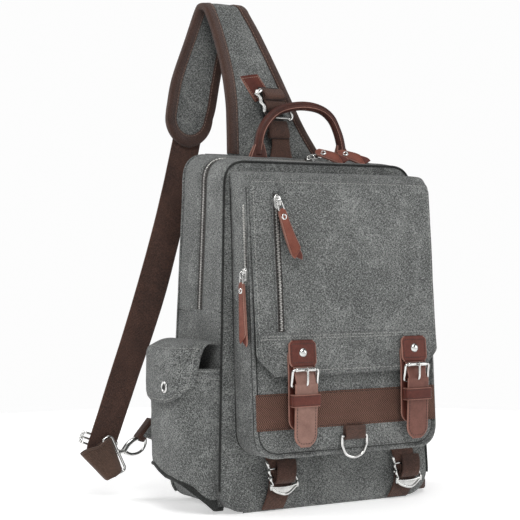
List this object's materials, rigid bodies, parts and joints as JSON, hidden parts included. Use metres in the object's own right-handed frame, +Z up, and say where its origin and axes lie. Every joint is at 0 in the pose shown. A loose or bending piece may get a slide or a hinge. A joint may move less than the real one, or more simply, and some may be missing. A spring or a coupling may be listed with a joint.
{
  "type": "sling bag",
  "caption": "Canvas sling bag with zipped main compartment, flap pocket with buckled leather straps, side pockets, grab handle and padded shoulder strap ending in a snap hook.",
  "frame": {"origin": "centre of the base of the main compartment, on the surface it stands on", "axes": "+X to the bag's right seen from the front, +Y to its back panel, +Z up; the flap faces -Y"},
  "size_m": [0.3703, 0.232, 0.569],
  "materials": {
    "canvas": "washed grey cotton canvas, plain weave",
    "piping": "dark grey bound seam",
    "mesh": "brown netting with a bound edge",
    "zip_tape": "woven tape with metal teeth",
    "webbing": "brown cotton webbing, herringbone weave",
    "leather": "waxed reddish-brown leather, semi-gloss",
    "hardware": "polished nickel plate"
  },
  "bodies": {
    "bag": {"anchor_loop": "webbing", "anchor_tab": "canvas", "back_panel": "canvas", "base_panel": "canvas", "bottle_pocket": "mesh", "d_ring_tab": "webbing", "front_panel": "canvas", "front_piping": "piping", "hook_ring": "hardware", "lash_webbing_left": "webbing", "lash_webbing_right": "webbing", "lifter_patch": "leather", "lifter_webbing": "webbing", "main_zip_chain": "zip_tape", "pocket_band": "webbing", "pocket_front": "canvas", "pocket_gusset": "canvas", "pocket_zip_chain": "zip_tape", "shoulder_strap": "canvas", "side_gusset_left": "canvas", "side_gusset_right": "canvas", "side_pocket": "canvas", "side_snap_stud": "hardware", "snap_sockets": "hardware", "strap_end_loop": "webbing", "strap_webbing": "webbing", "zip_gusset_back": "canvas", "zip_gusset_front": "canvas"},
    "flap": {"flap_panel": "canvas", "flap_hem": "canvas", "flap_zip_chain": "zip_tape", "strap_left": "leather", "strap_right": "leather", "strap_base_left": "leather", "strap_base_right": "leather", "buckle_left": "hardware", "buckle_right": "hardware", "strap_keepers": "leather", "strap_rivets": "hardware", "strap_snap_studs": "hardware"},
    "prong_left": {"prong_left": "hardware"},
    "prong_right": {"prong_right": "hardware"},
    "flap_slider": {"flap_slider": "hardware"},
    "flap_pull": {"flap_pull": "leather"},
    "pocket_slider": {"pocket_slider": "hardware"},
    "pocket_pull": {"pocket_pull": "leather"},
    "main_slider_left": {"main_slider_left": "hardware"},
    "main_pull_left": {"main_pull_left": "leather"},
    "main_slider_right": {"main_slider_right": "hardware"},
    "main_pull_right": {"main_pull_right": "leather"},
    "side_flap": {"side_flap": "canvas", "side_snap_cap": "hardware"},
    "d_ring": {"d_ring": "hardware"},
    "handle": {"handle": "leather"},
    "hook": {"hook_body": "hardware"},
    "hook_gate": {"hook_gate": "hardware"},
    "lash_buckle_left": {"lash_buckle_left": "hardware"},
    "lash_buckle_right": {"lash_buckle_right": "hardware"},
    "triglide": {"strap_triglide": "hardware"}
  },
  "joints": [
    {"name": "flap_hinge", "type": "hinge", "parent": "bag", "child": "flap", "pos_m": [0, -0.042, 0.3623], "axis": [-1, 0, 0], "range_deg": [0, 90]},
    {"name": "prong_left_tilt", "type": "hinge", "parent": "flap", "child": "prong_left", "pos_m": [-0.065, -0.1099, 0.136], "axis": [1, 0, 0], "range_deg": [0, 30]},
    {"name": "prong_right_tilt", "type": "hinge", "parent": "flap", "child": "prong_right", "pos_m": [0.079, -0.1099, 0.136], "axis": [1, 0, 0], "range_deg": [0, 30]},
    {"name": "flap_slider_travel", "type": "slide", "parent": "flap", "child": "flap_slider", "axis": [0, -0.0843, -0.9964], "range_m": [0, 0.09]},
    {"name": "flap_pull_swing", "type": "hinge", "parent": "flap_slider", "child": "flap_pull", "pos_m": [-0.086, -0.09371, 0.3287], "axis": [-0.9613, -0.0232, -0.2747], "range_deg": [0, 100]},
    {"name": "pocket_slider_travel", "type": "slide", "parent": "bag", "child": "pocket_slider", "axis": [0, 0.0634, 0.998], "range_m": [0, 0.062]},
    {"name": "pocket_pull_swing", "type": "hinge", "parent": "pocket_slider", "child": "pocket_pull", "pos_m": [-0.1215, -0.0769, 0.252], "axis": [0, 0.998, -0.0634], "range_deg": [0, 90]},
    {"name": "main_slider_left_travel", "type": "slide", "parent": "bag", "child": "main_slider_left", "axis": [1, 0, 0], "range_m": [-0.098, 0]},
    {"name": "main_slider_right_travel", "type": "slide", "parent": "bag", "child": "main_slider_right", "axis": [1, 0, 0], "range_m": [0, 0.036]},
    {"name": "main_pull_left_swing", "type": "hinge", "parent": "main_slider_left", "child": "main_pull_left", "pos_m": [0.016, 0.00428, 0.38439], "axis": [-0.788, -0.6104, -0.0805], "range_deg": [0, 75]},
    {"name": "main_pull_right_swing", "type": "hinge", "parent": "main_slider_right", "child": "main_pull_right", "pos_m": [0.046, 0.00428, 0.38439], "axis": [-0.788, -0.6104, -0.0805], "range_deg": [0, 75]},
    {"name": "side_flap_hinge", "type": "hinge", "parent": "bag", "child": "side_flap", "pos_m": [-0.1312, 0.004, 0.1788], "axis": [0, 1, 0], "range_deg": [0, 85]},
    {"name": "d_ring_swing", "type": "hinge", "parent": "bag", "child": "d_ring", "pos_m": [0.005, -0.09999, 0.079], "axis": [-1, 0, 0], "range_deg": [0, 75]},
    {"name": "handle_fold", "type": "hinge", "parent": "bag", "child": "handle", "pos_m": [0.0175, 0.028, 0.38197], "axis": [1, 0, 0], "range_deg": [0, 15]},
    {"name": "hook_swivel", "type": "hinge", "parent": "bag", "child": "hook", "pos_m": [-0.17297, 0.1, 0.05351], "axis": [0.9121, 0, 0.41], "range_deg": [-4, 20]},
    {"name": "hook_gate_hinge", "type": "hinge", "parent": "hook", "child": "hook_gate", "pos_m": [-0.1615, 0.1, 0.0552], "axis": [0, -1, 0], "range_deg": [0, 14], "stiffness_Nm_per_rad": 0.02},
    {"name": "lash_buckle_left_slide", "type": "slide", "parent": "bag", "child": "lash_buckle_left", "axis": [0.1616, 0.029, 0.9864], "range_m": [-0.004, 0.01]},
    {"name": "lash_buckle_right_slide", "type": "slide", "parent": "bag", "child": "lash_buckle_right", "axis": [0.2025, 0.0288, 0.9789], "range_m": [-0.002, 0.012]},
    {"name": "triglide_slide", "type": "slide", "parent": "bag", "child": "triglide", "axis": [0.3414, 0, 0.9399], "range_m": [0, 0.04]}
  ]
}
